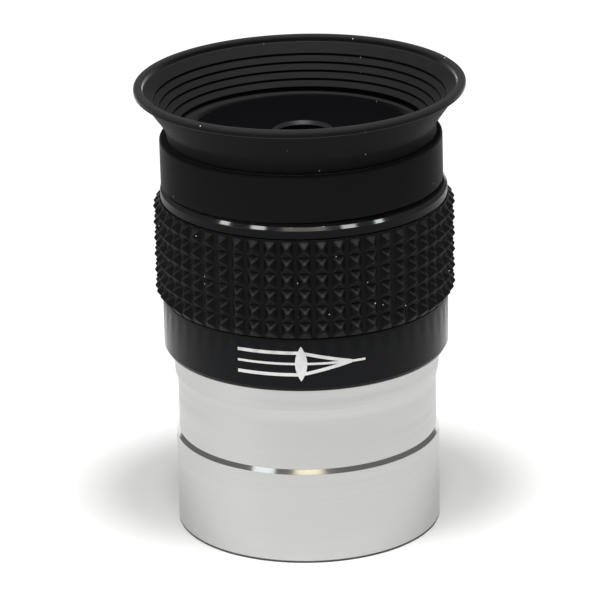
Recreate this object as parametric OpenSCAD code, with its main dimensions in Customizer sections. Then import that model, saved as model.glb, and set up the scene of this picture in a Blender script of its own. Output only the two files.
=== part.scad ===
// Plossl telescope eyepiece, 1.25 inch class, 10 mm focal length.
// Millimetres. +Z runs along the optical axis towards the eye.
// The origin is the centre of the barrel's lower end, which the eyepiece stands on.

/* [Barrel] */
// Outside diameter of the barrel's guiding lands
barrel_d = 31.7; // [31.6:0.05:31.75]
// Height of the housing's seat above the barrel's lower end
barrel_h = 22.2; // [21:0.1:26]
// Height of the lower guiding land, up to the safety groove
land_h = 11.3; // [9:0.1:12]
// Depth of the safety groove, on the radius
groove_depth = 0.35; // [0.2:0.05:0.8]
// Diameter of the bore above the filter thread
bore_d = 27.2; // [25:0.1:27.6]
// Diameter across the roots of the filter thread
filter_d = 28.5; // [28.3:0.1:28.6]
// Depth of the filter thread
filter_h = 4.6; // [3:0.1:6]
// Length of the screwed neck that holds the housing
neck_h = 4.8; // [4:0.1:5.4]
// Pitch of the neck's thread
neck_pitch = 0.75; // [0.5:0.05:1]

/* [Housing] */
// Diameter of the plain band under the grip
housing_d = 34.1; // [33.9:0.1:35]
// Height of the plain band
band_h = 6.6; // [5:0.1:9]
// Height of the polished ring above the grip
ring_h = 1.35; // [1.2:0.05:2.5]
// Height of the neck that the eyecup is pushed over
cup_neck_h = 5.4; // [5.2:0.1:7]
// Diameter of that neck
cup_neck_d = 30.8; // [30.4:0.1:31]

/* [Grip] */
// Rows of studs
stud_rows = 6; // [4:1:8]
// Studs around the grip
stud_columns = 54; // [36:2:72]
// Height of one row of studs
stud_pitch = 2; // [1.8:0.1:2.1]
// Height of a stud above the valleys
stud_h = 0.8; // [0.4:0.1:1]

/* [Eyecup] */
// Outside diameter of the flared rim
rim_d = 39.2; // [38.8:0.2:41]
// Height of the flare, from its root to the top of the rim
flare_h = 5.95; // [5.9:0.05:6.3]
// Outside diameter of the skirt
skirt_d = 33.5; // [33.4:0.1:34]
// Spacing of the stepped ribs inside the flare
rib_pitch = 0.86; // [0.82:0.005:0.88]

/* [Optics] */
// Diameter of the lens elements
lens_d = 11; // [10:0.2:11.4]
// Radius of the crowns' curved faces
crown_radius = 8.5; // [8:0.1:11]
// Thickness of a crown at its edge
crown_edge = 0.8; // [0.6:0.1:1]
// Thickness of a flint on the axis
flint_centre = 1.2; // [1:0.1:1.5]
// Air gap between the two crowns on the axis
lens_gap = 0.3; // [0.2:0.1:0.8]
// Clear diameter of the field stop
stop_d = 8.7; // [7:0.1:9.4]
// Clear diameter of the eye opening
eye_d = 6.4; // [6:0.1:8]

/* [Hidden] */
$fn = 96;

eps = 0.01;
run_gap = 0.05;      // between pieces that move on each other
cement_gap = 0.01;   // between the two glasses of a doublet
thread_h = 0.3;      // height of the neck's thread above its root
seat_gap = 0.15;     // between the grip's ends and its seat

// Barrel
barrel_r = barrel_d / 2;
groove_r = barrel_r - groove_depth;
groove_flank = 0.55; // height of the groove's steep lower flank
collar_h = 2.8;
neck_r = barrel_r - 1.2;

// Housing levels
housing_r = housing_d / 2;
housing_z = barrel_h + run_gap;
grip_z = housing_z + band_h + seat_gap;
grip_h = stud_rows * stud_pitch;
ring_z = grip_z + grip_h + seat_gap;
cup_z = ring_z + ring_h;
top_z = cup_z + cup_neck_h;
cup_neck_r = cup_neck_d / 2;
seat_r = housing_r - 0.65;
housing_bore_r = neck_r + thread_h + run_gap;
cavity_r = 14.2;
ledge_r = 12.4;
plate_r = 13.3;
ledge_z = top_z - 2.4;

// Eye plate levels
plate_z = top_z + 0.95;
eye_bevel = 0.4;     // edge break of the eye opening
boss_r = 11;
cell_thread_r = 9;
cell_top_z = plate_z - 2.65;
cell_thread_h = 3.8;

// Lens stack, from the eye down
lens_r = lens_d / 2;
lens_bore_r = lens_r + run_gap;
crown_sag = crown_radius - sqrt(pow(crown_radius, 2) - pow(lens_r, 2));
eye_face_z = cell_top_z - 0.55;
eye_cement_z = eye_face_z - flint_centre;
eye_crown_top_z = eye_cement_z - crown_sag;
eye_crown_low_z = eye_crown_top_z - crown_edge;
eye_vertex_z = eye_crown_low_z - crown_sag;
field_vertex_z = eye_vertex_z - lens_gap;
field_crown_top_z = field_vertex_z - crown_sag;
field_crown_low_z = field_crown_top_z - crown_edge;
field_cement_z = field_crown_low_z - crown_sag;
field_face_z = field_cement_z - flint_centre;
retainer_r = lens_r + 0.65;
retainer_h = 1.7;
cell_r = 7.4;
stop_z = field_face_z - 3.2;
cell_z = stop_z - 0.3;

// Eyecup levels
skirt_r = skirt_d / 2;
skirt_bore_r = cup_neck_r + run_gap;
skirt_z = cup_z + 0.45;
flange_z = top_z + run_gap;
root_z = flange_z + 1;
rim_r = rim_d / 2;
rim_top_z = root_z + flare_h;
rim_z = rim_top_z - 1.75;
bead_r = 0.55;
mouth_out_r = rim_r - 1.4;     // outside of the flare where it meets the rim
rib_count = 5;
rib_depth = 0.28;
rib_low = 0.56;                // height of the lowest rib above the flare's root
rib_low_r = 14.8;              // radius of its edge
rib_lean = 0.72;               // radius the ribs' edges gain for each mm of height
rib_face = rib_lean + rib_depth / rib_pitch;   // the same for the face of one rib
top_rib_h = rib_low + (rib_count - 1) * rib_pitch;
root_in_r = 15.1;
root_out_r = 16.05;
stud_turn = -0.4;    // degrees from the front to the nearest column of studs

// An arc of points from angle a to angle b, in degrees, about [x, y].
function arc(x, y, r, a, b, steps = 6) =
    [for (i = [0 : steps]) let (t = a + (b - a) * i / steps) [x + r * cos(t), y + r * sin(t)]];

module turned(points) {
    rotate_extrude() polygon(points);
}

// A ring with small chamfers on its four corners.
module chamfered_ring(inner_r, outer_r, low_z, high_z, c = 0.15) {
    turned([
        [inner_r + c, low_z], [outer_r - c, low_z], [outer_r, low_z + c],
        [outer_r, high_z - c], [outer_r - c, high_z], [inner_r + c, high_z],
        [inner_r, high_z - c], [inner_r, low_z + c]
    ]);
}

// Neck thread drawn as rings: root and crest of each turn, from the seat up.
function neck_thread(low_z, high_z) =
    [for (k = [0 : floor((high_z - low_z) / neck_pitch) - 1])
        let (z = low_z + k * neck_pitch)
        each [[neck_r, z], [neck_r, z + 0.15 * neck_pitch],
              [neck_r + thread_h, z + 0.45 * neck_pitch],
              [neck_r + thread_h, z + 0.6 * neck_pitch],
              [neck_r, z + 0.9 * neck_pitch]]];

// Barrel: lower land, safety groove with one steep and one gentle flank,
// upper collar, and the neck that the housing screws onto.
module barrel() {
    color("silver") turned(concat(
        [[filter_d / 2 + 0.3, 0],
         [barrel_r - 0.25, 0],
         [barrel_r, 0.3],
         [barrel_r, land_h],
         [groove_r, land_h + groove_flank],
         [groove_r, barrel_h - collar_h - 1.4],
         [barrel_r, barrel_h - collar_h],
         [barrel_r, barrel_h]],
        neck_thread(barrel_h, barrel_h + neck_h - 0.2),
        [[neck_r - 0.3, barrel_h + neck_h],
         [bore_d / 2, barrel_h + neck_h],
         [bore_d / 2, filter_h + 0.6],
         [filter_d / 2, filter_h],
         [filter_d / 2, 0.3]]
    ));
}

// Housing: screwed bore, plain band, seat for the grip, polished ring,
// neck for the eyecup and the ledge that carries the eye plate.
module housing() {
    color("dimgray") turned([
        [housing_bore_r + 0.3, housing_z],
        [housing_r - 0.3, housing_z],
        [housing_r, housing_z + 0.5],
        [housing_r, housing_z + band_h - 0.15],
        [housing_r - 0.15, housing_z + band_h],
        [seat_r, housing_z + band_h],
        [seat_r, ring_z],
        [housing_r - 0.15, ring_z],
        [housing_r, ring_z + 0.15],
        [housing_r, cup_z - 0.4],
        [housing_r - 0.4, cup_z],
        [cup_neck_r, cup_z],
        [cup_neck_r, top_z - 0.3],
        [cup_neck_r - 0.3, top_z],
        [plate_r + run_gap, top_z],
        [plate_r + run_gap, ledge_z],
        [ledge_r, ledge_z],
        [ledge_r, ledge_z - 1.6],
        [cavity_r, ledge_z - 3.4],
        [cavity_r, barrel_h + neck_h + 1.6],
        [housing_bore_r, barrel_h + neck_h + 0.8],
        [housing_bore_r, housing_z + 0.3]
    ]);
}

// One corner or tip of the studded drum: column and row count half pitches.
function stud_point(i, j) =
    let (tip = (i % 2 == 1) && (j % 2 == 1),
         t = 180 * (i - 1) / stud_columns - 90 + stud_turn,
         r = housing_r + 0.1 + (tip ? stud_h : 0))
    [r * cos(t), r * sin(t), grip_z + j * stud_pitch / 2];

// Drum covered in square pyramids: each cell of 2 by 2 half pitches has its
// tip in the middle, and flat discs close the two ends.
module studded_drum() {
    half_columns = 2 * stud_columns;
    half_rows = 2 * stud_rows;
    points = [for (j = [0 : half_rows], i = [0 : half_columns - 1]) stud_point(i, j)];
    low_centre = len(points);
    function at(i, j) = j * half_columns + (i % half_columns);
    cells = [for (j = [0 : 2 : half_rows - 2], i = [0 : 2 : half_columns - 2]) [i, j]];
    sides = [for (c = cells) let (i = c[0], j = c[1], tip = at(i + 1, j + 1))
        each [
            [at(i, j), tip, at(i + 2, j)],
            [at(i + 2, j), tip, at(i + 2, j + 2)],
            [at(i + 2, j + 2), tip, at(i, j + 2)],
            [at(i, j + 2), tip, at(i, j)]
        ]];
    ends = [for (i = [0 : 2 : half_columns - 2])
        each [
            [low_centre, at(i, 0), at(i + 2, 0)],
            [low_centre + 1, at(i + 2, half_rows), at(i, half_rows)]
        ]];
    polyhedron(
        points = concat(points, [[0, 0, grip_z], [0, 0, grip_z + grip_h]]),
        faces = concat(sides, ends)
    );
}

// Rubber sleeve with rows of pyramid studs.
module grip_ring() {
    color("#202020") difference() {
        studded_drum();
        translate([0, 0, grip_z - 1]) cylinder(r = seat_r + run_gap, h = grip_h + 2);
    }
}

// Eye plate: screwed disc with a bevelled eye opening and a boss for the cell.
module eye_plate() {
    color("#303030") turned([
        [eye_d / 2, cell_top_z + run_gap],
        [eye_d / 2, plate_z - eye_bevel],
        [eye_d / 2 + eye_bevel, plate_z],
        [plate_r - 0.2, plate_z],
        [plate_r, plate_z - 0.2],
        [plate_r, ledge_z],
        [boss_r, ledge_z],
        [boss_r, cell_top_z - cell_thread_h + 0.3],
        [boss_r - 0.3, cell_top_z - cell_thread_h],
        [cell_thread_r + run_gap, cell_top_z - cell_thread_h],
        [cell_thread_r + run_gap, cell_top_z + run_gap]
    ]);
}

// Ring nut that locks the lens cell against the boss, with two spanner slots.
module cell_lock_ring() {
    low_z = cell_top_z - cell_thread_h - 2.1;
    color("#303030") difference() {
        chamfered_ring(cell_r + run_gap, boss_r - 0.6, low_z, low_z + 1.6);
        translate([-boss_r, -0.6, low_z - 1]) cube([2 * boss_r, 1.2, 1.7]);
    }
}

// Lens cell: tube with a lip that stops the eye doublet and a screwed mouth
// for the retainer and the field stop.
module lens_cell() {
    color("#303030") turned([
        [retainer_r + run_gap, cell_z],
        [cell_r - 0.2, cell_z],
        [cell_r, cell_z + 0.2],
        [cell_r, cell_top_z - cell_thread_h + 0.1],
        [cell_thread_r, cell_top_z - cell_thread_h + 0.1],
        [cell_thread_r, cell_top_z - 0.2],
        [cell_thread_r - 0.2, cell_top_z],
        [lens_r - 0.5, cell_top_z],
        [lens_r - 0.9, eye_face_z],
        [lens_bore_r, eye_face_z],
        [lens_bore_r, field_face_z],
        [retainer_r + run_gap, field_face_z]
    ]);
}

// Plano-concave flint. outward is 1 where its flat face looks up.
module flint(face_z, cement_z, outward) {
    edge_z = cement_z - outward * crown_sag;
    low_z = min(face_z, edge_z);
    color([0.8, 0.9, 0.85, 0.5]) difference() {
        translate([0, 0, low_z]) cylinder(r = lens_r, h = abs(face_z - edge_z));
        translate([0, 0, cement_z - outward * (crown_radius - cement_gap)])
            sphere(r = crown_radius);
    }
}

// Biconvex crown, from its lower edge to its upper edge.
module crown(low_z, high_z) {
    color([0.85, 0.9, 0.95, 0.5]) intersection() {
        translate([0, 0, low_z - crown_sag - 1])
            cylinder(r = lens_r, h = high_z - low_z + 2 * crown_sag + 2);
        translate([0, 0, high_z + crown_sag - crown_radius]) sphere(r = crown_radius);
        translate([0, 0, low_z - crown_sag + crown_radius]) sphere(r = crown_radius);
    }
}

module eye_flint() {
    flint(eye_face_z, eye_cement_z, 1);
}

module eye_crown() {
    crown(eye_crown_low_z, eye_crown_top_z);
}

module field_crown() {
    crown(field_crown_low_z, field_crown_top_z);
}

module field_flint() {
    flint(field_face_z, field_cement_z, -1);
}

// Spacer that keeps the crowns apart: its inner edges bear on the curved faces.
module lens_spacer() {
    inner_r = lens_r - 0.6;
    bear = crown_sag - (crown_radius - sqrt(pow(crown_radius, 2) - pow(inner_r, 2)));
    low_z = field_crown_top_z + bear + eps;
    high_z = eye_crown_low_z - bear - eps;
    color("#303030") turned([
        [inner_r, low_z], [lens_r, low_z - 0.2],
        [lens_r, high_z + 0.2], [inner_r, high_z]
    ]);
}

// Screwed ring under the field doublet, with two spanner slots.
module lens_retainer() {
    low_z = field_face_z - retainer_h;
    color("#303030") difference() {
        chamfered_ring(lens_r - 0.8, retainer_r, low_z, field_face_z);
        translate([-lens_d, -0.5, low_z - 1]) cube([2 * lens_d, 1, 1.7]);
    }
}

// Field stop: thin screwed disc with a sharp-edged hole.
module field_stop() {
    color("#303030") turned([
        [stop_d / 2 + 0.6, stop_z],
        [retainer_r, stop_z],
        [retainer_r, stop_z + 0.8],
        [stop_d / 2, stop_z + 0.8],
        [stop_d / 2, stop_z + 0.7]
    ]);
}

// Skirt: the band that grips the housing's neck, its inner flange, and the
// root of the flare between an outer and an inner fold groove.
module eyecup_skirt() {
    round_r = 0.6;
    shoulder_z = flange_z + 0.6;
    ring_r = 14.2;
    ring_top_z = root_z - 0.1;
    color("#1c1c1c") turned(concat(
        [[skirt_bore_r, skirt_z], [skirt_r - 0.1, skirt_z], [skirt_r, skirt_z + 0.1]],
        arc(skirt_r - round_r, shoulder_z - round_r, round_r, 0, 90),
        [[root_out_r, shoulder_z + 0.1], [root_out_r, root_z], [root_in_r, root_z],
         [root_in_r, ring_top_z], [ring_r + 0.15, ring_top_z],
         [ring_r, ring_top_z - 0.15], [ring_r, flange_z], [skirt_bore_r, flange_z]]
    ));
}

// Radius of the ribs' edges at a height above the flare's root.
function rib_r(h) = rib_low_r + rib_lean * (h - rib_low);

// Radius of the face of the rib whose edge is at height low, at the height h.
function face_r(low, h) = rib_r(low) + rib_face * (h - low);

// Flare: straight waist, then a cone that folds down over the skirt. Inside it
// each rib overhangs the one below, like shingles.
module eyecup_flare() {
    high_h = rim_z - root_z - run_gap;
    bend = 0.05;
    outer = [[root_out_r, root_z], [root_out_r, root_z + 0.85],
             [root_out_r + 0.2, root_z + 1.35], [mouth_out_r, root_z + high_h]];
    top_face = [[face_r(top_rib_h, high_h), root_z + high_h],
                [rib_r(top_rib_h), root_z + top_rib_h + bend],
                [rib_r(top_rib_h) + rib_depth, root_z + top_rib_h]];
    faces = [for (k = [rib_count - 2 : -1 : 0])
        let (h = rib_low + k * rib_pitch)
        each [[face_r(h, h + rib_pitch), root_z + h + rib_pitch - bend],
              [rib_r(h), root_z + h + bend],
              [rib_r(h) + rib_depth, root_z + h]]];
    color("#1c1c1c") turned(concat(outer, top_face, faces,
                                   [[root_in_r, root_z + rib_low - bend], [root_in_r, root_z]]));
}

// Rim: the flare's mouth, which ends in a rounded bead with a crease inside it.
module eyecup_rim() {
    crease_r = rim_r - 2 * bead_r + 0.08;
    crease_z = rim_top_z - 0.7;
    color("#1c1c1c") turned(concat(
        [[face_r(top_rib_h, rim_z - root_z), rim_z], [mouth_out_r + 0.03, rim_z],
         [rim_r - 0.85, rim_top_z - 1.05]],
        arc(rim_r - bead_r, rim_top_z - bead_r, bead_r, -60, 180, 12),
        [[crease_r, crease_z], [crease_r - 0.15, crease_z - 0.1]]
    ));
}

barrel();
housing();
grip_ring();
eye_plate();
cell_lock_ring();
lens_cell();
eye_flint();
eye_crown();
lens_spacer();
field_crown();
field_flint();
lens_retainer();
field_stop();
eyecup_skirt();
eyecup_flare();
eyecup_rim();
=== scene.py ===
"""Plossl telescope eyepiece: the looks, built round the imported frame.

Lengths in this file are millimetres unless a name ends in _m. mm() turns them into metres.
Every turned piece is an outline of (radius, height) corners swept round the Z axis.
"""

import math

import bpy
import numpy as np
from mathutils import Matrix, Vector


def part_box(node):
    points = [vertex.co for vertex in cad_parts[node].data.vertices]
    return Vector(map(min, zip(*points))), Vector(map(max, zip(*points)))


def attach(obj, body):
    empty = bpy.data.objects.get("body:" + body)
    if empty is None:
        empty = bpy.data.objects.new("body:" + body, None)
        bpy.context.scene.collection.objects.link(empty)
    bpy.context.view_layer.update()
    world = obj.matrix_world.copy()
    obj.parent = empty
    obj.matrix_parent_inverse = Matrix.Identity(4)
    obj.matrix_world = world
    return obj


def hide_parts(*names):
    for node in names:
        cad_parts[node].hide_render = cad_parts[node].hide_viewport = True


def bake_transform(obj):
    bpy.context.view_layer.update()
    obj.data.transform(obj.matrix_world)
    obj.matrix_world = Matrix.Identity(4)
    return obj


bl_info = {
    "name": "Plossl Eyepiece",
    "version": (1, 0, 0),
    "blender": (4, 5, 0),
    "location": "View3D > Sidebar > Eyepiece",
    "description": "Builds the visible pieces, finishes and studio of a slip-in telescope eyepiece",
    "category": "Add Mesh",
}

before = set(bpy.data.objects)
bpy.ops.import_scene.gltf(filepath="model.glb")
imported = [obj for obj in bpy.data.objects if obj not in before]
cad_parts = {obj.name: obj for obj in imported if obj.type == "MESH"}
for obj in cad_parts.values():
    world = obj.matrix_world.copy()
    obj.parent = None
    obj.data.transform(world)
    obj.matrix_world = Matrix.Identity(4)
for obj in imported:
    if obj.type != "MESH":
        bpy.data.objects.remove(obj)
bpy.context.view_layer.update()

FRONT = -math.pi / 2  # angle of the side with the printed mark, from +X
TAU = 2 * math.pi


# Sizes taken from the frame ---------------------------------------------------------------------


def mm(value):
    """Millimetres to metres, for one number or a whole array."""
    return np.asarray(value, float) * 0.001 if not np.isscalar(value) else value * 0.001


def span(node):
    """Lowest height, highest height and outer radius of a round CAD node, in mm."""
    low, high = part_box(node)
    return low.z * 1000, high.z * 1000, max(high.x, high.y) * 1000


BARREL_LOW, NECK_TOP, BARREL_R = span("barrel")
HOUSING_LOW, HOUSING_TOP, HOUSING_R = span("housing")
GRIP_LOW, GRIP_TOP, GRIP_R = span("grip_ring")
PLATE_LOW, PLATE_TOP, PLATE_R = span("eye_plate")
SKIRT_LOW, FLARE_ROOT, SKIRT_R = span("eyecup_skirt")
RIM_LOW, RIM_TOP, RIM_R = span("eyecup_rim")

METAL_GAP = 0.05  # between metal pieces that meet
SEAT_GAP = 0.15  # between the grip's ends and its seat
NECK_R = BARREL_R - 1.2  # root of the thread on the barrel's neck
FILTER_R, FILTER_TOP = 14.25, 4.6  # roots and depth of the filter thread
LEDGE = HOUSING_TOP - 2.4  # where the eye plate sits in the housing


class EyepieceSettings(bpy.types.PropertyGroup):
    """Sizes and colours that a user would change."""

    segments: bpy.props.IntProperty(
        name="Segments", description="Faces round each turned piece", default=192, min=48, max=384)
    stud_columns: bpy.props.IntProperty(
        name="Stud columns", description="Studs round the grip", default=54, min=24, max=80)
    stud_rows: bpy.props.IntProperty(
        name="Stud rows", description="Rows of studs on the grip", default=6, min=3, max=8)
    stud_height: bpy.props.FloatProperty(
        name="Stud height", description="Height of a stud above the valleys, in mm",
        default=0.8, min=0.3, max=1.0)
    stud_turn: bpy.props.FloatProperty(
        name="Stud turn", description="Turn of the grip away from the front",
        default=math.radians(-0.4), subtype="ANGLE", unit="ROTATION")
    rib_count: bpy.props.IntProperty(
        name="Ribs", description="Stepped ribs inside the eyecup's flare", default=5, min=2, max=6)
    rib_pitch: bpy.props.FloatProperty(
        name="Rib pitch", description="Height from one rib to the next, in mm", default=0.86,
        min=0.7, max=1.0)
    mark_width: bpy.props.FloatProperty(
        name="Mark width", description="Width of the printed lens symbol, in mm", default=15.4,
        min=6.0, max=20.0)
    silver: bpy.props.StringProperty(
        name="Silver", description="Colour of the turned barrel, sRGB hex", default="C3C3C2")
    black_metal: bpy.props.StringProperty(
        name="Black metal", description="Colour of the anodised housing, sRGB hex", default="141517")
    rubber: bpy.props.StringProperty(
        name="Rubber", description="Colour of the eyecup, sRGB hex", default="1A1A1A")
    grip_rubber: bpy.props.StringProperty(
        name="Grip rubber", description="Colour of the grip, sRGB hex", default="1C1B1E")
    ink: bpy.props.StringProperty(
        name="Ink", description="Colour of the printed mark, sRGB hex", default="D8D9D8")
    lamp_brightness: bpy.props.FloatProperty(
        name="Lamp brightness", description="Radiance of each overhead lamp", default=135.0, min=0.0,
        max=400.0)


def settings():
    """The sizes and colours of this scene."""
    return bpy.context.scene.eyepiece


# Meshes -----------------------------------------------------------------------------------------


def mesh_object(name, points, quads, finishes=None, materials=(), smooth_angle=35):
    """Object at the origin from points in mm and quads, creased past smooth_angle degrees."""
    mesh = bpy.data.meshes.new(name)
    mesh.vertices.add(len(points))
    mesh.vertices.foreach_set("co", mm(points).astype(np.float32).ravel())
    mesh.loops.add(quads.size)
    mesh.loops.foreach_set("vertex_index", quads.astype(np.int32).ravel())
    mesh.polygons.add(len(quads))
    mesh.polygons.foreach_set("loop_start", np.arange(0, quads.size, 4, dtype=np.int32))
    mesh.polygons.foreach_set("loop_total", np.full(len(quads), 4, dtype=np.int32))
    for material in materials:
        mesh.materials.append(material)
    if finishes is not None:
        mesh.polygons.foreach_set("material_index", np.asarray(finishes, np.int32))
    mesh.update(calc_edges=True)
    mesh.validate()
    mesh.shade_smooth()
    mesh.set_sharp_from_angle(angle=math.radians(smooth_angle))
    made = bpy.data.objects.new(name, mesh)
    bpy.context.scene.collection.objects.link(made)
    return made


def rounded_outline(corners, steps=5):
    """Closed outline with rounded corners, and the finish of each stretch.

    A corner is (radius, height, fillet, finish). It is replaced by an arc that touches both of its
    sides: the tangent points lie fillet / tan(half angle) from the corner. One more point just outside
    each, the guard, keeps the shading of the flat stretches flat. finish holds from a corner to the
    next.
    """
    longest = 0.46  # length of a tangent, as a share of the shorter side, so that two arcs never meet
    guard = 0.08  # distance of the guard from its arc, as a share of the tangent
    places = np.array([corner[:2] for corner in corners], float)
    points, finishes = [], []
    for i, corner in enumerate(corners):
        here, fillet = places[i], corner[2]
        to_last, to_next = places[i - 1] - here, places[(i + 1) % len(places)] - here
        reach = min(np.linalg.norm(to_last), np.linalg.norm(to_next))
        to_last, to_next = to_last / np.linalg.norm(to_last), to_next / np.linalg.norm(to_next)
        half = math.acos(float(np.clip(to_last @ to_next, -1, 1))) / 2
        cut = min(fillet / math.tan(half), longest * reach)
        centre = here + (to_last + to_next) / np.linalg.norm(to_last + to_next) * cut / math.cos(half)
        radius = cut * math.tan(half)
        start, end = here + to_last * cut, here + to_next * cut
        sweep = math.pi - 2 * half
        turn = np.sign(np.cross(-to_last, to_next))
        angles = math.atan2(*(start - centre)[::-1]) + turn * np.linspace(0, sweep, steps + 1)
        arc = centre + radius * np.column_stack([np.cos(angles), np.sin(angles)])
        points += [start + to_last * guard * cut, *arc, end + to_next * guard * cut]
        before = corners[i - 1][3]
        finishes += [before] * (steps // 2 + 1) + [corner[3]] * (steps - steps // 2 + 2)
    return np.array(points), np.array(finishes)


def turned(name, corners, materials, steps=5, shape=None):
    """Rounded outline swept once round Z: point = (r cos a, r sin a, h), a from the front.

    shape, where given, moves the whole array of points before the mesh is made.
    """
    outline, finishes = rounded_outline(corners, steps)
    ahead = np.roll(outline, -1, axis=0)
    area = np.sum(outline[:, 0] * ahead[:, 1] - ahead[:, 0] * outline[:, 1])
    count, around = len(outline), settings().segments
    angle = FRONT + np.arange(around) * TAU / around
    radius, height = outline[:, 0], outline[:, 1]
    points = np.stack([np.outer(np.cos(angle), radius), np.outer(np.sin(angle), radius),
                       np.broadcast_to(height, (around, count))], axis=-1).reshape(-1, 3)
    if shape is not None:
        points = shape(points)
    i, j = np.meshgrid(np.arange(around), np.arange(count), indexing="ij")
    a, b = i * count, (i + 1) % around * count
    k = (j + 1) % count
    quads = np.stack([a + j, b + j, b + k, a + k], axis=-1).reshape(-1, 4)
    if area < 0:
        quads = quads[:, ::-1]
    return mesh_object(name, points, quads, np.tile(finishes, around), materials)


def helix_thread(name, root, crest, pitch, low, high, material):
    """One turned ridge climbing a cylinder: radius and height follow the angle.

    Across, the ridge is a closed trapezium from the root to the crest and back through the wall.
    Its height fades in and out over the first and last third of a turn, so its ends are points.
    """
    around, thinnest = 96, 0.02  # points in a turn, and least share of the ridge's width
    turns = (high - low) / pitch - 1
    along = np.arange(int(turns * around) + 1) / around
    fade = np.clip(np.minimum(along, along[-1] - along) * 3, 0, 1)
    across = np.array([[0.0, -0.42], [1.0, -0.1], [1.0, 0.1], [0.0, 0.42], [-0.15, 0.3], [-0.15, -0.3]])
    radius = root + (crest - root) * across[:, 0] * fade[:, None]
    width = np.maximum(fade[:, None], thinnest)
    height = low + pitch / 2 + pitch * (along[:, None] + across[:, 1] * width)
    angle = (along * TAU)[:, None]
    points = np.stack([radius * np.cos(angle), radius * np.sin(angle), height], -1).reshape(-1, 3)
    count, rings = len(across), len(along)
    i, j = np.meshgrid(np.arange(rings - 1), np.arange(count), indexing="ij")
    k = (j + 1) % count
    quads = np.stack([i * count + j, i * count + k, (i + 1) * count + k, (i + 1) * count + j], -1)
    caps = np.array([[0, 3, 2, 1], [0, 5, 4, 3]])
    last = (rings - 1) * count
    quads = np.concatenate([quads.reshape(-1, 4), caps, caps[:, ::-1] + last])
    if crest > root:
        quads = quads[:, ::-1]
    return mesh_object(name, points, quads, materials=[material])


# Materials --------------------------------------------------------------------------------------


def linear(hex_colour):
    """sRGB hex colour to linear RGBA."""
    parts = [int(hex_colour[i:i + 2], 16) / 255 for i in (0, 2, 4)]
    return [p / 12.92 if p <= 0.04045 else ((p + 0.055) / 1.055) ** 2.4 for p in parts] + [1.0]


def add(tree, kind, options=None, inputs=None):
    """Adds one node, sets its options, and fills its inputs with values or links."""
    made = tree.nodes.new(kind)
    for key, value in (options or {}).items():
        setattr(made, key, value)
    for key, value in (inputs or {}).items():
        if isinstance(value, bpy.types.NodeSocket):
            tree.links.new(value, made.inputs[key])
        else:
            made.inputs[key].default_value = value
    return made


def new_material(name, surface):
    """Material with one Principled shader whose uniform values are in surface.

    Returns the material, its node tree and the shader.
    """
    material = bpy.data.materials.new(name)
    material.use_nodes = True
    tree = material.node_tree
    tree.nodes.clear()
    shader = add(tree, "ShaderNodeBsdfPrincipled", inputs=surface)
    add(tree, "ShaderNodeOutputMaterial", inputs={"Surface": shader.outputs[0]})
    return material, tree, shader


def object_noise(tree, size, stretch=(1, 1, 1), detail=2.0, roughness=0.5):
    """Noise on Object coordinates whose features are about size mm across. Returns its node."""
    place = add(tree, "ShaderNodeTexCoord")
    mapped = add(tree, "ShaderNodeMapping",
                 inputs={"Vector": place.outputs["Object"], "Scale": stretch})
    return add(tree, "ShaderNodeTexNoise",
               inputs={"Vector": mapped.outputs[0], "Scale": 1 / mm(size), "Detail": detail,
                       "Roughness": roughness})


def between(tree, factor, low, high, low_at=0.3, high_at=0.7):
    """Maps a factor from low_at..high_at to low..high."""
    return add(tree, "ShaderNodeMapRange",
               inputs={"Value": factor, "From Min": low_at, "From Max": high_at, "To Min": low,
                       "To Max": high}).outputs[0]


def bump(tree, shader, height, depth):
    """Raises the shader's surface by height times depth mm."""
    made = add(tree, "ShaderNodeBump",
               inputs={"Height": height, "Distance": mm(depth), "Strength": 1.0})
    tree.links.new(made.outputs[0], shader.inputs["Normal"])


def mixed_colour(tree, shader, factor, first, second):
    """Base colour between two hex colours."""
    mix = add(tree, "ShaderNodeMix", {"data_type": "RGBA"},
              {"Factor": factor, "A": linear(first), "B": linear(second)})
    tree.links.new(mix.outputs["Result"], shader.inputs["Base Color"])


def turned_aluminium():
    """Aluminium, fine-turned and clear anodised: even, satin, with faint rings from the lathe tool."""
    material, tree, shader = new_material(
        "turned aluminium",
        {"Base Color": linear(settings().silver), "Metallic": 1.0, "Roughness": 0.42})
    # The tool's feed is about 0.05 mm a turn. The rings are drawn at 0.25 mm so that they show.
    rings = object_noise(tree, 0.25, stretch=(0.01, 0.01, 1), detail=3)
    tree.links.new(between(tree, rings.outputs[0], 0.36, 0.48), shader.inputs["Roughness"])
    bump(tree, shader, rings.outputs[0], 0.004)
    return material


def polished_aluminium():
    """The flank of the barrel's groove, bright from a polished tool: a near mirror."""
    material, tree, shader = new_material(
        "polished aluminium", {"Base Color": linear("D6D6D2"), "Metallic": 1.0, "Roughness": 0.12})
    rings = object_noise(tree, 0.12, stretch=(0.01, 0.01, 1), detail=2)
    tree.links.new(between(tree, rings.outputs[0], 0.09, 0.16), shader.inputs["Roughness"])
    return material


def black_anodised():
    """Aluminium, bead-blasted and dyed black: a satin skin with a very fine tooth."""
    material, tree, shader = new_material(
        "black anodised aluminium",
        {"Base Color": linear(settings().black_metal), "Metallic": 0.0, "Roughness": 0.38, "IOR": 1.5,
         "Specular IOR Level": 0.06, "Sheen Weight": 0.4, "Sheen Roughness": 0.28})
    # The blasted tooth is about 0.05 mm across. It is drawn at 0.12 mm so that it shows.
    tooth = object_noise(tree, 0.12, detail=3)
    tree.links.new(between(tree, tooth.outputs[0], 0.34, 0.44), shader.inputs["Roughness"])
    bump(tree, shader, tooth.outputs[0], 0.002)
    return material


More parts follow.
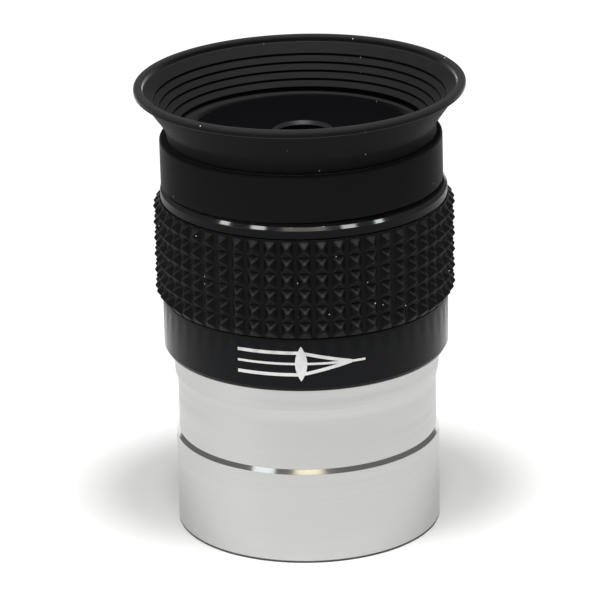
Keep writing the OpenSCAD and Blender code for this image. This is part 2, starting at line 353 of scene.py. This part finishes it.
def polished_black():
    """The chamfer above the grip, cut bright before it was dyed: black glass to the eye."""
    material, tree, shader = new_material(
        "polished black anodised aluminium",
        {"Base Color": linear("0E0E0F"), "Metallic": 0.0, "Roughness": 0.09, "IOR": 1.6,
         "Specular IOR Level": 0.6})
    rings = object_noise(tree, 0.1, stretch=(0.01, 0.01, 1), detail=2)
    tree.links.new(between(tree, rings.outputs[0], 0.07, 0.11), shader.inputs["Roughness"])
    return material


def worn_edge():
    """The band's lowest edge, where the black dye has worn thin to a straw colour."""
    straw, dye = "3E3929", "1E1D1A"
    material, tree, shader = new_material(
        "worn anodised edge",
        {"Base Color": linear(straw), "Metallic": 0.0, "Roughness": 0.35, "IOR": 1.5,
         "Specular IOR Level": 0.2})
    wear = object_noise(tree, 1.5, detail=2)
    mixed_colour(tree, shader, between(tree, wear.outputs[0], 0, 1), straw, dye)
    return material


def matt_black_inside():
    """Aluminium dyed dead black, as the inside of optical parts is, to stop stray light."""
    material, tree, shader = new_material(
        "matt black anodised aluminium",
        {"Base Color": linear("030304"), "Metallic": 0.0, "Roughness": 0.62, "IOR": 1.5,
         "Specular IOR Level": 0.02})
    tooth = object_noise(tree, 0.1, detail=3)
    tree.links.new(between(tree, tooth.outputs[0], 0.55, 0.7), shader.inputs["Roughness"])
    bump(tree, shader, tooth.outputs[0], 0.003)
    return material


def moulded_rubber(name, colour, gloss, sheen, grain, low, high, dust):
    """Moulded black rubber: dull, with a fine skin and a few specks of dust that cling to it.

    gloss is its specular level, sheen the pale bloom seen at a glancing angle, grain the size of the
    skin's texture in mm, low and high its range of roughness, and dust the share of Voronoi cells,
    0.9 mm apart, that hold a speck.
    """
    material, tree, shader = new_material(
        name, {"Base Color": linear(colour), "Metallic": 0.0, "Roughness": 0.7, "IOR": 1.5,
               "Specular IOR Level": gloss, "Sheen Weight": sheen, "Sheen Roughness": 0.28})
    skin = object_noise(tree, grain, detail=4, roughness=0.6)
    tree.links.new(between(tree, skin.outputs[0], low, high), shader.inputs["Roughness"])
    bump(tree, shader, skin.outputs[0], 0.006)
    place = add(tree, "ShaderNodeTexCoord")
    cells = add(tree, "ShaderNodeTexVoronoi", {"feature": "F1"},
                {"Vector": place.outputs["Object"], "Scale": 1 / mm(0.9), "Randomness": 1.0})
    # A speck fades out from 0.045 to 0.09 mm from its cell's centre. It lies only in the few cells
    # whose random colour is high.
    near = between(tree, cells.outputs["Distance"], 1, 0, 0.05, 0.1)
    chosen = add(tree, "ShaderNodeSeparateColor", inputs={"Color": cells.outputs["Color"]})
    here = add(tree, "ShaderNodeMath", {"operation": "GREATER_THAN"},
               {0: chosen.outputs[0], 1: 1 - dust})
    speck = add(tree, "ShaderNodeMath", {"operation": "MULTIPLY"}, {0: near, 1: here.outputs[0]})
    speck_colour = "C8C8C4"
    mixed_colour(tree, shader, speck.outputs[0], colour, speck_colour)
    return material


def printed_ink():
    """White pad-printing ink: dense, slightly uneven and a little glossier than the band."""
    material, tree, shader = new_material(
        "white printing ink",
        {"Base Color": linear(settings().ink), "Metallic": 0.0, "Roughness": 0.45, "IOR": 1.5})
    patches = object_noise(tree, 0.4, detail=3)
    mixed_colour(tree, shader, between(tree, patches.outputs[0], 0, 1), settings().ink, "CDCECD")
    return material


def coated_glass(name, tint):
    """Optical glass whose magnesium fluoride coating, about 100 nm thick, tints its reflections."""
    material, tree, shader = new_material(
        name, {"Base Color": linear(tint), "Metallic": 0.0, "Roughness": 0.0, "IOR": 1.52,
               "Transmission Weight": 1.0, "Thin Film Thickness": 105.0, "Thin Film IOR": 1.38})
    film = object_noise(tree, 6.0, detail=1)
    tree.links.new(between(tree, film.outputs[0], 0.0, 0.02), shader.inputs["Roughness"])
    return material


# Pieces -----------------------------------------------------------------------------------------


def finished(piece, body, slot, *nodes):
    """The piece rides on the body and stands for the CAD nodes, which are hidden. slot is not used."""
    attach(piece, body)
    if nodes:
        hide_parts(*nodes)


def barrel_outline():
    """Corners of the barrel. Finish 0 is satin, 1 is the polished flank and 2 is blackened inside."""
    land_top, flank, groove_r = 11.3, 0.55, BARREL_R - 0.35
    collar, taper, seat = 2.8, 1.4, HOUSING_LOW - METAL_GAP
    bore_r = 13.6
    return [
        (FILTER_R + 0.3, BARREL_LOW, 0.04, 0),
        (BARREL_R - 0.25, BARREL_LOW, 0.06, 0),
        (BARREL_R, BARREL_LOW + 0.3, 0.08, 0),
        (BARREL_R, land_top, 0.03, 1),
        (groove_r, land_top + flank, 0.04, 0),
        (groove_r, seat - collar - taper, 5.0, 0),
        (BARREL_R, seat - collar, 0.5, 0),
        (BARREL_R, seat, 0.06, 0),
        (NECK_R, seat, 0.05, 0),
        (NECK_R, NECK_TOP - 0.3, 0.03, 0),
        (NECK_R - 0.3, NECK_TOP, 0.03, 0),
        (bore_r, NECK_TOP, 0.05, 2),
        (bore_r, FILTER_TOP + 0.6, 0.05, 2),
        (FILTER_R, FILTER_TOP, 0.05, 0),
        (FILTER_R, BARREL_LOW + 0.3, 0.03, 0),
    ]


class EYEPIECE_OT_barrel(bpy.types.Operator):
    """Builds the silver barrel, its filter thread and the thread of its neck"""

    bl_idname = "eyepiece.barrel"
    bl_label = "Barrel"

    def execute(self, context):
        satin = turned_aluminium()
        thread_depth, filter_pitch, neck_pitch = 0.3, 0.6, 0.75
        barrel = turned("barrel_turned", barrel_outline(),
                        [satin, polished_aluminium(), matt_black_inside()])
        finished(barrel, "barrel", "silver_barrel", "barrel")
        filter_thread = helix_thread("filter_thread", FILTER_R, FILTER_R - thread_depth, filter_pitch,
                                     BARREL_LOW + 0.35, FILTER_TOP, satin)
        finished(filter_thread, "barrel", "silver_barrel")
        neck_thread = helix_thread("neck_thread", NECK_R, NECK_R + thread_depth, neck_pitch,
                                   HOUSING_LOW, NECK_TOP - 0.25, satin)
        finished(neck_thread, "barrel", "silver_barrel")
        return {"FINISHED"}


class EYEPIECE_OT_housing(bpy.types.Operator):
    """Builds the black housing, with its band, grip seat, polished ring and eyecup neck"""

    bl_idname = "eyepiece.housing"
    bl_label = "Housing"

    def execute(self, context):
        seat_r, neck_r, bore_r, cavity_r, ledge_r = HOUSING_R - 0.65, 15.4, 15.0, 14.2, 12.4
        band_top, ring_low, ring_top = GRIP_LOW - SEAT_GAP, GRIP_TOP + SEAT_GAP, SKIRT_LOW - 0.45
        chamfer = 0.38
        # Finish 0 is satin, 1 is the polished chamfer, 2 is blackened inside and 3 is the worn edge.
        corners = [
            (bore_r + 0.3, HOUSING_LOW, 0.03, 0),
            (HOUSING_R - 0.3, HOUSING_LOW, 0.02, 3),
            (HOUSING_R - 0.22, HOUSING_LOW + 0.13, 0.01, 0),
            (HOUSING_R, HOUSING_LOW + 0.5, 0.05, 0),
            (HOUSING_R, band_top, 0.15, 0),
            (seat_r, band_top, 0.05, 0),
            (seat_r, ring_low, 0.05, 0),
            (HOUSING_R, ring_low, 0.12, 0),
            (HOUSING_R, ring_top - chamfer, 0.15, 1),
            (HOUSING_R - chamfer, ring_top, 0.02, 0),
            (neck_r, ring_top, 0.05, 0),
            (neck_r, HOUSING_TOP, 0.3, 0),
            (PLATE_R + METAL_GAP, HOUSING_TOP, 0.05, 0),
            (PLATE_R + METAL_GAP, LEDGE, 0.03, 0),
            (ledge_r, LEDGE, 0.03, 2),
            (ledge_r, LEDGE - 1.6, 0.05, 2),
            (cavity_r, LEDGE - 3.4, 0.1, 2),
            (cavity_r, NECK_TOP + 1.6, 0.1, 2),
            (bore_r, NECK_TOP + 0.8, 0.05, 0),
            (bore_r, HOUSING_LOW + 0.3, 0.03, 0),
        ]
        housing = turned("housing_turned", corners,
                         [black_anodised(), polished_black(), matt_black_inside(), worn_edge()])
        finished(housing, "housing", "black_anodised", "housing")
        return {"FINISHED"}


class EYEPIECE_OT_grip(bpy.types.Operator):
    """Builds the rubber grip with its rows of pyramid studs"""

    bl_idname = "eyepiece.grip"
    bl_label = "Grip"

    def execute(self, context):
        options = settings()
        fine = 14  # faces across one stud's pitch
        columns, rows = options.stud_columns * fine, options.stud_rows * fine
        base_r, inner_r = GRIP_R - options.stud_height, HOUSING_R - 0.6
        # A stud's foot takes this share of its pitch, round the grip and up it.
        round_share, up_share = 0.74, 0.94
        # u and v run from -1 to 1 across the foot. A high power of both makes its outline, with corners
        # slightly eased, and the square root rounds the stud's tip and the foot of its faces.
        u = (np.arange(columns) % fine / fine * 2 - 1) / round_share
        v = (np.arange(rows + 1) % fine / fine * 2 - 1) / up_share
        power, tip, valley = 9, 0.1, 0.08
        edge = (np.abs(u)[:, None] ** power + np.abs(v)[None, :] ** power) ** (1 / power)
        edge = np.minimum(edge, 1)
        rise = 1 + tip - np.sqrt(edge ** 2 + tip ** 2)
        rise = (np.sqrt(rise ** 2 + valley ** 2) - valley) / (math.sqrt(1 + valley ** 2) - valley)
        outer = base_r + options.stud_height * np.clip(rise, 0, 1)
        start = FRONT + options.stud_turn - math.pi / options.stud_columns
        angle = start + np.arange(columns) * TAU / columns
        height = np.linspace(GRIP_LOW, GRIP_TOP, rows + 1)
        # Three more rings close the sleeve: the top and bottom edges inside, and back to the start.
        radius = np.concatenate([outer, np.full((columns, 2), inner_r)], axis=1)
        height = np.concatenate([height, [GRIP_TOP, GRIP_LOW]])
        points = np.stack([radius * np.cos(angle)[:, None], radius * np.sin(angle)[:, None],
                           np.broadcast_to(height, radius.shape)], -1).reshape(-1, 3)
        count = len(height)
        i, j = np.meshgrid(np.arange(columns), np.arange(count), indexing="ij")
        a, b, k = i * count, (i + 1) % columns * count, (j + 1) % count
        quads = np.stack([a + j, b + j, b + k, a + k], -1).reshape(-1, 4)
        # The faces beside each column, and the strip above each stud, get a darker colour: painted
        # shade in the valleys between the studs, and painted shadow cast by the stud above on each
        # strip, so that they stay dark under the overhead lamps.
        u_middle = np.abs((np.arange(columns) % fine + 0.5) / fine * 2 - 1) / round_share
        v_middle = np.abs((np.arange(rows) % fine + 0.5) / fine * 2 - 1) / up_share
        finishes = np.zeros((columns, count), int)
        finishes[:, :rows] = (u_middle[:, None] > v_middle) | (np.arange(rows) % fine == fine - 1)
        # Painted shade: the much darker colour of the valleys and of the shadowed strips.
        painted_valley_shade_colour = "08080A"
        shades = [moulded_rubber(f"grip rubber {where}", colour, 0.08, 0.0, 0.15, 0.4, 0.5, 0.09)
                  for where, colour in (("faces", options.grip_rubber), ("painted_valley_shade", painted_valley_shade_colour))]
        grip = mesh_object("grip_studded", points, quads, finishes.ravel(), shades, smooth_angle=32)
        finished(grip, "housing", "grip_rubber", "grip_ring")
        return {"FINISHED"}


class EYEPIECE_OT_eyecup(bpy.types.Operator):
    """Builds the one-piece rubber eyecup, which on the real eyepiece bends between its skirt and its
    rim
    """

    bl_idname = "eyepiece.eyecup"
    bl_label = "Eyecup"

    def execute(self, context):
        options = settings()
        bore_r, root_r, ring_r, flange = 15.45, 15.1, 14.2, FLARE_ROOT - 1.0
        first_rib, first_rib_r, lean, step = 0.56, 14.8, 0.72, 0.28
        waist_r, waist_top, lip, bead = 16.05, 1.1, RIM_TOP - 1.05, 1.08

        def rib_r(rise):
            """Radius of the ribs' edges, which lie on one straight cone."""
            return first_rib_r + lean * (rise - first_rib)

        outside = [
            (bore_r, SKIRT_LOW, 0.06, 0),
            (SKIRT_R, SKIRT_LOW, 0.1, 0),
            (SKIRT_R, flange + 0.65, 0.65, 0),
            (waist_r - 0.1, flange + 0.65, 0.08, 0),
            (waist_r, FLARE_ROOT + waist_top, 1.3, 0),
            (RIM_R - 0.84, lip, 0.5, 0),
            (RIM_R, lip + 0.2, 0.5, 0),
            (RIM_R, RIM_TOP, 0.5, 0),
            (RIM_R - bead, RIM_TOP, 0.53, 0),
            (RIM_R - bead + 0.02, RIM_TOP - 0.72, 0.06, 0),
            (RIM_R - bead - 0.1, RIM_TOP - 0.84, 0.05, 1),
        ]
        ribs = []
        for rib in range(options.rib_count - 1, -1, -1):
            rise = first_rib + rib * options.rib_pitch
            ribs += [
                (rib_r(rise), FLARE_ROOT + rise + 0.03, 0.14, 1),
                (rib_r(rise) + step, FLARE_ROOT + rise - 0.04, 0.03, 1),
            ]
            if rib:
                ribs.append((rib_r(rise) + step, FLARE_ROOT + rise - 0.11, 0.03, 1))
        inside = [
            (root_r, FLARE_ROOT + first_rib - 0.15, 0.05, 1),
            (root_r, FLARE_ROOT - 0.1, 0.12, 1),
            (ring_r, FLARE_ROOT - 0.1, 0.14, 0),
            (ring_r, flange, 0.08, 0),
            (bore_r, flange, 0.05, 0),
        ]

        def soft(points):
            """Rubber is never quite true: the cup sits a little askew, and its flare waves slightly.

            The cup moves by shift, leans by tilt to the left and by nod to the back (in radians) about
            the height 45 mm, and its rim is raised by stretch. The bore and the inner ring, which the
            housing holds, stay put: free is 0 there and grows to 1 over 0.8 mm.
            """
            shift, tilt, nod, stretch = -0.21, 0.009, -0.008, 0.05
            angle = np.arctan2(points[:, 1], points[:, 0])
            share = np.clip((points[:, 2] - FLARE_ROOT) / (RIM_TOP - FLARE_ROOT), 0, 1)
            wave = 0.02 * np.sin(2 * angle + 0.7) + 0.012 * np.sin(5 * angle + 2.1)
            scale = 1 + share * wave / RIM_R
            points = points * np.stack([scale, scale, np.ones_like(scale)], -1)
            radius = np.hypot(points[:, 0], points[:, 1])
            free = np.maximum(np.clip((radius - bore_r - 0.1) / 0.8, 0, 1),
                              np.clip((points[:, 2] - FLARE_ROOT + 0.25) / 0.8, 0, 1))
            points[:, 2] += free * (tilt * points[:, 0] + nod * points[:, 1]) + stretch * share
            points[:, 0] += free * (shift - tilt * (points[:, 2] - 45))
            return points

        # Finish 0 is the outside and 1 the inside, which has less bloom. The cup is one rubber; the
        # inside's darker colour is painted shade, to keep the hollow of the cup dim under the overhead
        # lamps.
        painted_shade_inside_colour = "141414"
        shades = [
            moulded_rubber(f"soft eyecup rubber {where}", colour, 0.02, sheen, 0.2, 0.65, 0.8, 0.05)
            for where, colour, sheen in (("outside", options.rubber, 0.3),
                                         ("inside", painted_shade_inside_colour, 0.15))]
        eyecup = turned("eyecup_moulded", outside + ribs + inside, shades, steps=6, shape=soft)
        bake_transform(eyecup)
        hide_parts("eyecup_skirt", "eyecup_flare", "eyecup_rim")
        return {"FINISHED"}


class EYEPIECE_OT_eye_plate(bpy.types.Operator):
    """Builds the black plate round the eye opening"""

    bl_idname = "eyepiece.eye_plate"
    bl_label = "Eye plate"

    def execute(self, context):
        eye_r, bevel, boss_r, thread_r = 3.2, 0.4, 11.0, 9.05
        shelf = PLATE_TOP - 2.6
        corners = [
            (eye_r, shelf, 0.03, 0),
            (eye_r, PLATE_TOP - bevel, 0.03, 1),
            (eye_r + bevel, PLATE_TOP, 0.03, 0),
            (PLATE_R, PLATE_TOP, 0.15, 0),
            (PLATE_R, LEDGE, 0.03, 0),
            (boss_r, LEDGE, 0.05, 0),
            (boss_r, PLATE_LOW, 0.2, 0),
            (thread_r, PLATE_LOW, 0.1, 0),
            (thread_r, shelf, 0.03, 0),
        ]
        plate = turned("eye_plate_turned", corners, [matt_black_inside(), black_anodised()])
        finished(plate, "housing", "black_inside", "eye_plate")
        return {"FINISHED"}


class EYEPIECE_OT_optics(bpy.types.Operator):
    """Finishes the lens cell, its rings and the lenses, whose shapes come from the frame"""

    bl_idname = "eyepiece.optics"
    bl_label = "Lens cell and lenses"

    def execute(self, context):
        black = matt_black_inside()
        crown_glass = coated_glass("coated crown glass", "F2FAF6")
        flint_glass = coated_glass("coated flint glass", "F4F6EC")
        finishes = {
            "cell_lock_ring": black, "lens_cell": black, "lens_spacer": black, "lens_retainer": black,
            "field_stop": black, "eye_crown": crown_glass, "field_crown": crown_glass,
            "eye_flint": flint_glass, "field_flint": flint_glass,
        }
        for name, material in finishes.items():
            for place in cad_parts[name].material_slots:
                place.material = material
        return {"FINISHED"}


# Printed mark -----------------------------------------------------------------------------------


def printed_stroke(path, width):
    """Points and quads of one stroke of ink wrapped on the band.

    path runs in (distance round the band, height). Each point gets a left and a right edge, half the
    width along the path's normal, at the band's surface and at the top of the ink. Then distance over
    radius is the angle from the front.
    """
    under, over = HOUSING_R - 0.02, HOUSING_R + 0.015
    path = np.asarray(path, float)
    ahead = np.gradient(path, axis=0)
    normal = np.stack([-ahead[:, 1], ahead[:, 0]], -1) / np.linalg.norm(ahead, axis=1)[:, None]
    side = np.asarray(width)[..., None] / 2 * normal if np.ndim(width) else width / 2 * normal
    left, right = path + side, path - side
    flat = np.stack([left, right, right, left], axis=1)
    radius = np.array([over, over, under, under])
    angle = FRONT + flat[:, :, 0] / HOUSING_R
    points = np.stack([radius * np.cos(angle), radius * np.sin(angle), flat[:, :, 1]], -1)
    points = points.reshape(-1, 3)
    i, j = np.meshgrid(np.arange(len(path) - 1), np.arange(4), indexing="ij")
    k = (j + 1) % 4
    quads = np.stack([i * 4 + j, i * 4 + k, (i + 1) * 4 + k, (i + 1) * 4 + j], -1).reshape(-1, 4)
    last = (len(path) - 1) * 4
    caps = np.array([[3, 2, 1, 0], [last, last + 1, last + 2, last + 3]])
    return points, np.concatenate([quads, caps])


def line(start, end, count=24):
    """Evenly spaced points from start to end."""
    return np.linspace(start, end, count)


class EYEPIECE_OT_mark(bpy.types.Operator):
    """Prints a plain ray diagram on the band: a lens, its axis and two rays that meet at its focus"""

    bl_idname = "eyepiece.mark"
    bl_label = "Printed mark"

    def execute(self, context):
        half = settings().mark_width / 2
        level, middle = (HOUSING_LOW + GRIP_LOW) / 2 + 0.15, -0.7
        lens_half, bulge, ray = 2.15, 0.7, 1.35
        axis_width, ray_width, lens_tip = 0.28, 0.4, 0.04
        left, right, focus = middle - half, middle + half, middle + 0.78 * half
        strokes = [
            (line((left, level), (right, level)), axis_width),
            (line((left, level + ray), (middle, level + ray)), ray_width),
            (line((left, level - ray), (middle, level - ray)), ray_width),
            (line((middle, level + ray), (focus, level)), ray_width),
            (line((middle, level - ray), (focus, level)), ray_width),
        ]
        # The lens is one stroke up its axis, as wide as two arcs that meet at its ends.
        up = line((middle, level - lens_half), (middle, level + lens_half), 33)
        width = 2 * bulge * (1 - ((up[:, 1] - level) / lens_half) ** 2) + lens_tip
        strokes.append((up, width))
        points, quads, total = [], [], 0
        for path, thickness in strokes:
            some_points, some_quads = printed_stroke(path, thickness)
            points.append(some_points)
            quads.append(some_quads + total)
            total += len(some_points)
        mark = mesh_object("lens_mark", np.concatenate(points), np.concatenate(quads),
                           materials=[printed_ink()])
        finished(mark, "housing", "black_anodised")
        return {"FINISHED"}


# Studio -----------------------------------------------------------------------------------------


def soft_lamp(name, azimuth, elevation, half_width, radiance, colour):
    """Round area lamp 2 m away that faces the eyepiece and looks 2 * half_width degrees across.

    Azimuth counts from the front towards +X. A disc of area A that gives off the power P has the
    radiance P / (pi A).
    """
    distance_m, aim = 2.0, Vector(mm((0, 0, 30)))
    turn, rise = math.radians(azimuth), math.radians(elevation)
    out = Vector((math.sin(turn) * math.cos(rise), -math.cos(turn) * math.cos(rise), math.sin(rise)))
    data = bpy.data.lights.new(name, "AREA")
    data.shape = "DISK"
    data.size = 2 * distance_m * math.tan(math.radians(half_width))
    data.energy = radiance * math.pi * math.pi * (data.size / 2) ** 2
    data.color = colour
    lamp = bpy.data.objects.new(name, data)
    lamp.location = aim + distance_m * out
    lamp.rotation_mode = "QUATERNION"
    lamp.rotation_quaternion = (-out).to_track_quat("-Z", "Y")
    bpy.context.scene.collection.objects.link(lamp)


class EYEPIECE_OT_stage(bpy.types.Operator):
    """Sets up the camera, the pale floor and the soft light"""

    bl_idname = "eyepiece.stage"
    bl_label = "Camera, floor and light"

    def execute(self, context):
        scene = context.scene
        scene.view_settings.view_transform = "Standard"
        aim, distance_m = Vector(mm((-0.69, 0.0, 27.4))), 0.55
        rise, roll = math.radians(20.4), math.radians(1.07)
        back = Vector((0, -math.cos(rise), math.sin(rise)))
        camera = bpy.data.objects.new("camera", bpy.data.cameras.new("camera"))
        camera.data.lens, camera.data.sensor_width = 275.6, 36.0
        camera.data.clip_start, camera.data.clip_end = 0.01, 50.0
        camera.rotation_mode = "QUATERNION"
        camera.location = aim + distance_m * back
        camera.rotation_quaternion = (-back).to_track_quat("-Z", "Y") @ Matrix.Rotation(
            -roll, 4, "Z").to_quaternion()
        scene.collection.objects.link(camera)
        scene.camera = camera

        # Grey paper that the lamps light up to nearly white.
        floor_material, _, _ = new_material(
            "pale paper", {"Base Color": linear("A2A2A2"), "Roughness": 0.9, "Specular IOR Level": 0.1})
        reach, hair = 6000.0, 0.02
        corners = reach * np.array([[-1, -1, 0], [1, -1, 0], [1, 1, 0], [-1, 1, 0]])
        floor = mesh_object("floor", corners, np.array([[0, 1, 2, 3]]), materials=[floor_material])
        floor.location.z = -mm(hair)  # so that it doesn't share a plane with the barrel's end

        white = (1, 1, 1)
        for side, azimuth in (("left", -38), ("right", 38)):
            soft_lamp(f"{side} overhead lamp", azimuth, 79, 6, settings().lamp_brightness, white)
        soft_lamp("cream panel", 0, 57, 18, 1.3, (1.0, 0.93, 0.7))
        soft_lamp("blue panel", -45, 40, 9, 1.2, (0.86, 0.94, 1.0))
        soft_lamp("left panel", -62, 8, 14, 2.2, white)
        # Four small lamps that show as sparkles on the polished ring.
        soft_lamp("left spot", -60, 62.4, 4, 7.5, white)
        soft_lamp("right spot", 58, 63, 4, 7, white)
        soft_lamp("far left spot", -90, 51, 3, 8, (1, 1, 0.96))
        soft_lamp("far right spot", 86, 53, 2.5, 9.5, (0.9, 0.98, 1))

        world = bpy.data.worlds.new("dim studio")
        scene.world = world
        world.use_nodes = True
        backdrop = world.node_tree.nodes["Background"].inputs
        backdrop["Color"].default_value, backdrop["Strength"].default_value = (1, 1, 1, 1), 0.17
        return {"FINISHED"}


# Add-on -----------------------------------------------------------------------------------------


STEPS = (EYEPIECE_OT_stage, EYEPIECE_OT_barrel, EYEPIECE_OT_housing, EYEPIECE_OT_grip,
         EYEPIECE_OT_mark, EYEPIECE_OT_eyecup, EYEPIECE_OT_eye_plate, EYEPIECE_OT_optics)


class EYEPIECE_PT_sidebar(bpy.types.Panel):
    """Lists the pieces in the 3D view's sidebar"""

    bl_idname = "EYEPIECE_PT_sidebar"
    bl_label = "Eyepiece"
    bl_space_type = "VIEW_3D"
    bl_region_type = "UI"
    bl_category = "Eyepiece"

    def draw(self, context):
        for name in EyepieceSettings.__annotations__:
            self.layout.prop(context.scene.eyepiece, name)
        for step in STEPS:
            self.layout.operator(step.bl_idname)


CLASSES = (EyepieceSettings, *STEPS, EYEPIECE_PT_sidebar)


def register():
    """Registers the classes and the scene's settings."""
    for each in CLASSES:
        bpy.utils.register_class(each)
    bpy.types.Scene.eyepiece = bpy.props.PointerProperty(type=EyepieceSettings)


def unregister():
    """Takes the settings and the classes out again."""
    del bpy.types.Scene.eyepiece
    for each in reversed(CLASSES):
        bpy.utils.unregister_class(each)


def main():
    register()
    bpy.ops.eyepiece.stage()
    bpy.ops.eyepiece.barrel()
    bpy.ops.eyepiece.housing()
    bpy.ops.eyepiece.grip()
    bpy.ops.eyepiece.mark()
    bpy.ops.eyepiece.eyecup()
    bpy.ops.eyepiece.eye_plate()
    bpy.ops.eyepiece.optics()


if __name__ == "__main__":
    main()
